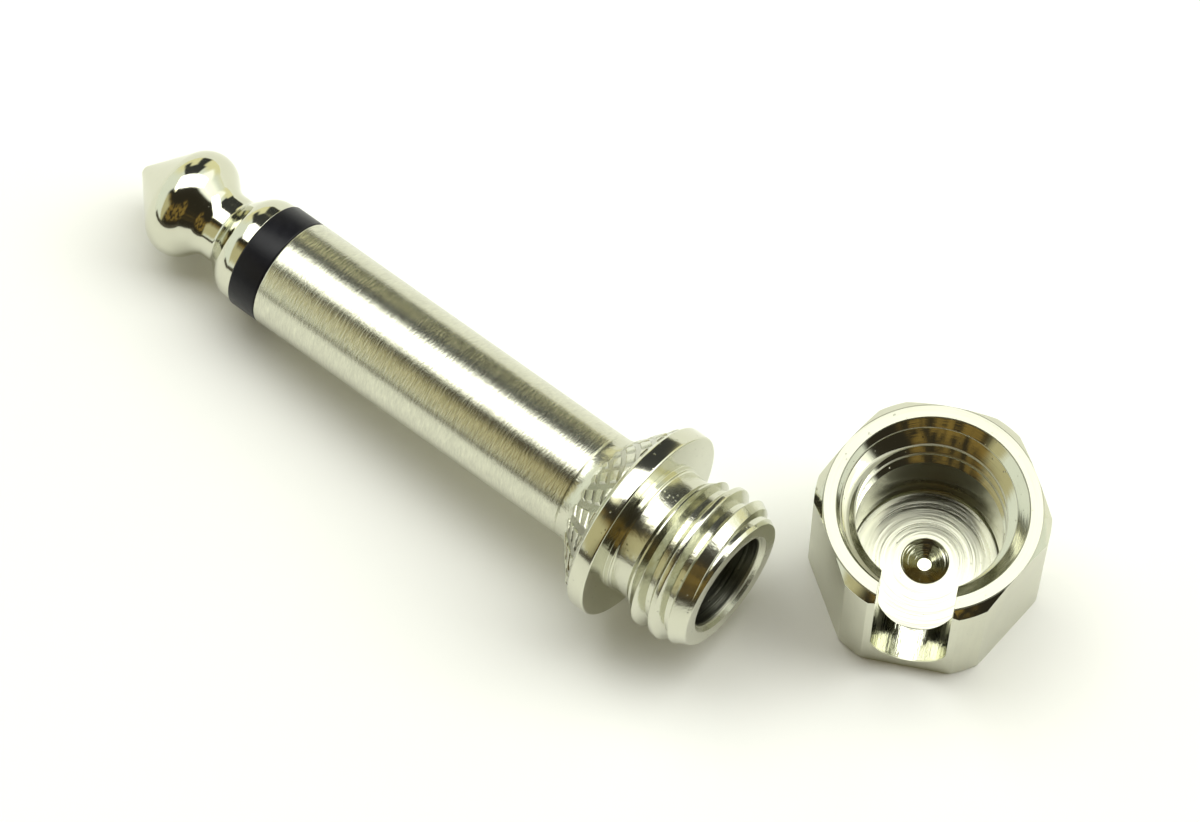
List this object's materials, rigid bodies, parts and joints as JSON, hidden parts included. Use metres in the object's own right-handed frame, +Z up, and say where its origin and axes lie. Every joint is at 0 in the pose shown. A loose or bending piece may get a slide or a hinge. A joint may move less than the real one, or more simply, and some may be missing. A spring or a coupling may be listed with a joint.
{
  "type": "solderless jack plug",
  "caption": "Nickel-plated jack plug with turned tip, black insulating ring, flanged body and threaded cable end, lying beside its slotted hexagon screw cap.",
  "frame": {"origin": "middle of the screw cap's closed end, on the table that the plug and the cap lie on", "axes": "+Z up from the table, +X over two opposite corners of the hexagon cap and along the longer side of the group, -Y towards the side that the cap's cable slot faces"},
  "size_m": [0.0523, 0.0234, 0.0113],
  "materials": {
    "nickel_body": "nickel plate over brass, satin turned sleeve and polished flange and thread",
    "nickel_tip": "nickel plate over brass, polished",
    "nickel_cap": "nickel plate over brass, bright turned faces and satin flats",
    "black_insulator": "black moulded plastic, satin"
  },
  "bodies": {
    "root": {"plug_body": "nickel_body", "tip_contact": "nickel_tip", "front_insulator": "black_insulator", "rear_insulator": "black_insulator", "screw_cap": "nickel_cap"}
  },
  "joints": []
}
